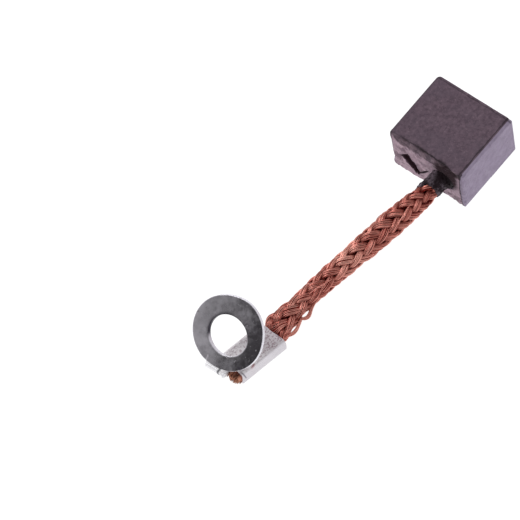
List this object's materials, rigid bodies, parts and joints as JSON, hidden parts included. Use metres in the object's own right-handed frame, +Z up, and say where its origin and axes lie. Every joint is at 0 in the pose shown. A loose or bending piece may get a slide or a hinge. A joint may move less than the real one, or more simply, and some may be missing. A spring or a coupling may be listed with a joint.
{
  "type": "carbon brush",
  "caption": "Small motor carbon brush: copper-graphite block with a braided copper lead, ending in a folded tinned ring terminal.",
  "frame": {"origin": "middle of the block's underside, on the surface that the brush lies on", "axes": "+Z up from that surface, +X out of the wear face, away from the lead, +Y along the block's longest side"},
  "size_m": [0.0381, 0.012, 0.0077],
  "materials": {
    "carbon": "matte pressed copper-graphite, faintly purple-brown",
    "cement": "matte dark grey tamped compound",
    "copper_braid": "fine bare copper wire, dull pinkish brown",
    "tinned_sheet": "tinned, satin, lightly speckled"
  },
  "bodies": {
    "root": {"carbon_block": "carbon", "root_cement": "cement", "braided_shunt": "copper_braid", "ring_terminal": "tinned_sheet"}
  },
  "joints": []
}
